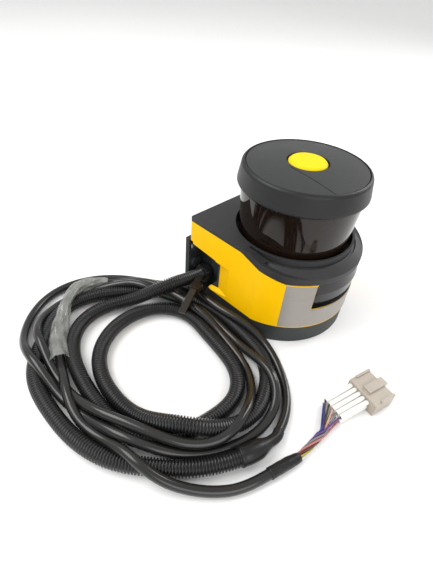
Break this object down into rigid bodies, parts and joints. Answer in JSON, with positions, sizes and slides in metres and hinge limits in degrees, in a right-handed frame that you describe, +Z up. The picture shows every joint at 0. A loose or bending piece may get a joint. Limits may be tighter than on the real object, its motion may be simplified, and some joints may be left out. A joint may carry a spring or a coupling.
{
  "type": "safety laser scanner",
  "caption": "Compact safety laser scanner: yellow housing, dark conical optics cover, round cap over a spinning mirror, and a conduit-and-cable coil tied at its side ending in a plug.",
  "frame": {"origin": "centre of the housing's standing face, midway between its sides and between its curved front and flat back", "axes": "+Z up along the mirror's axis, -Y to the curved front, +Y to the connection plate at the back, -X to the cable pocket and the coil"},
  "size_m": [0.24, 0.2368, 0.116],
  "materials": {
    "base_grey": "matt, fine texture",
    "signal_yellow": "satin powder coat",
    "label_silver": "satin film",
    "cover_black": "fine grain",
    "indicator_grey": "smoked, satin",
    "display_black": "satin",
    "optics_black": "clear gloss, infrared-passing black",
    "seal_rubber": "matt",
    "cap_black": "fine grain",
    "plate_grey": "fine grain",
    "button_yellow": "satin",
    "cast_alloy": "machined",
    "screw_steel": "plain",
    "mirror_glass": "polished",
    "lens_glass": "polished",
    "board_green": "solder mask",
    "nylon_ivory": "natural nylon",
    "gland_black": "moulded",
    "tie_black": "moulded",
    "cable_black": "satin sheath",
    "sleeve_clear": "soft clear tube",
    "shrink_black": "satin",
    "wire_colours": "mixed core colours",
    "marker_white": "satin sleeve",
    "contact_brass": "tinned"
  },
  "bodies": {
    "housing": {"lower_housing": "base_grey", "housing_shell": "signal_yellow", "front_label": "label_silver", "rear_cover": "cover_black", "front_collar": "cover_black", "indicator_band": "indicator_grey", "display_strip": "display_black", "optics_cover": "optics_black", "optics_seal": "seal_rubber", "cap": "cap_black", "cap_plate": "plate_grey", "cap_button": "button_yellow", "optics_frame": "cast_alloy", "frame_screws": "screw_steel", "motor_housing": "cast_alloy", "encoder_reader": "cover_black", "receiver_lens": "lens_glass", "lens_barrel": "cover_black", "detector_board": "board_green", "main_board": "board_green", "board_connectors": "nylon_ivory", "pocket_liner": "base_grey", "connection_block": "base_grey", "connection_plate": "base_grey", "plate_screws": "screw_steel", "base_screws": "screw_steel", "cable_gland": "gland_black", "gland_nut": "gland_black", "cable_tie": "tie_black", "cable_coil": "cable_black", "clear_sleeve": "sleeve_clear", "conduit_lead": "cable_black", "conduit_cuff": "shrink_black", "cable_tail": "cable_black", "tail_sleeve": "shrink_black", "tail_wires": "wire_colours", "wire_markers": "marker_white", "tail_connector": "nylon_ivory", "connector_contacts": "contact_brass"},
    "rotor": {"motor_shaft": "screw_steel", "rotor_hub": "cast_alloy", "encoder_disc": "screw_steel", "mirror_carrier": "cover_black", "scan_mirror": "mirror_glass"}
  },
  "joints": [
    {"name": "mirror_spin", "type": "hinge", "parent": "housing", "child": "rotor", "pos_m": [0, -0.0015, 0.07], "axis": [0, 0, 1], "continuous": true}
  ]
}
